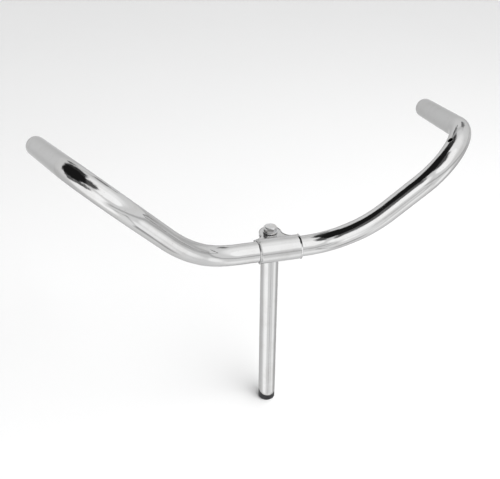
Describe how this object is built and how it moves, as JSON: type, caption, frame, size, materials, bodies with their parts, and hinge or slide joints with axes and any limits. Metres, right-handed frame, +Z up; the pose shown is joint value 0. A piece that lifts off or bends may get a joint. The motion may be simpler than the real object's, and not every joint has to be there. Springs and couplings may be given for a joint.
{
  "type": "swept-back handlebar with quill stem",
  "caption": "Chromed swept-back handlebar tube held in a rolled strap clamp on a quill stem with a long expander bolt and a sloping wedge nut.",
  "frame": {"origin": "on the stem's axis, level with the underside of the weld at the top of the stem tube", "axes": "+X to the rider's right along the bar's middle, +Y back towards the rider, +Z up along the stem"},
  "size_m": [0.4748, 0.1861, 0.3608],
  "materials": {
    "bar_chrome": "bright chrome plate",
    "clamp_chrome": "chrome plate over pressed steel",
    "stem_chrome": "bright chrome plate",
    "washer_steel": "bright zinc plate",
    "bolt_steel": "bright zinc plate",
    "wedge_iron": "black oxide"
  },
  "bodies": {
    "stem": {"stem_tube": "stem_chrome", "clamp_strap": "clamp_chrome", "bolt_washer": "washer_steel"},
    "bar": {"handlebar_tube": "bar_chrome"},
    "bolt": {"expander_bolt": "bolt_steel"},
    "wedge": {"wedge_nut": "wedge_iron"}
  },
  "joints": [
    {"name": "bar_tilt", "type": "hinge", "parent": "stem", "child": "bar", "pos_m": [0, -0.033, 0.0049], "axis": [1, 0, 0], "range_deg": [-45, 45]},
    {"name": "bolt_turn", "type": "hinge", "parent": "stem", "child": "bolt", "pos_m": [0, 0, 0], "axis": [0, 0, 1], "range_deg": [0, 1800]},
    {"name": "wedge_travel", "type": "slide", "parent": "stem", "child": "wedge", "axis": [0, 0, 1], "range_m": [-0.00625, 0]}
  ],
  "couplings": [
    {"joint": "bolt_turn", "follows": "wedge_travel", "rad_per_m": -5026.5}
  ]
}
